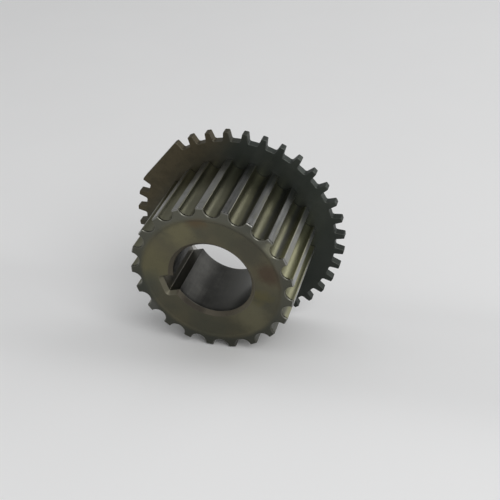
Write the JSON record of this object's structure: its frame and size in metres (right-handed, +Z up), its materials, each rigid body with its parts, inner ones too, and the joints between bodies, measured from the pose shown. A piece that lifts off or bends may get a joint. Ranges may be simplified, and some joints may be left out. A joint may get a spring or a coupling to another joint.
{
  "type": "timing belt pulley",
  "caption": "Round-groove timing belt pulley with a keyed bore and a toothed signal ring with a flat pressed on behind the belt teeth.",
  "frame": {"origin": "on the bore axis, halfway along the pulley's overall length", "axes": "Y is the axis of rotation: the small toothed end faces -Y and the ring end faces +Y. +Z is up and +X is right as seen from the toothed end, with the keyway on the -X side."},
  "size_m": [0.0844, 0.038, 0.0844],
  "materials": {
    "oxidised_sintered_steel": "dark steam-oxidised sintered steel, satin, with worn tooth edges",
    "dark_ring_steel": "dark oxidised steel, satin"
  },
  "bodies": {
    "root": {"pulley_body": "oxidised_sintered_steel", "signal_ring": "dark_ring_steel"}
  },
  "joints": []
}
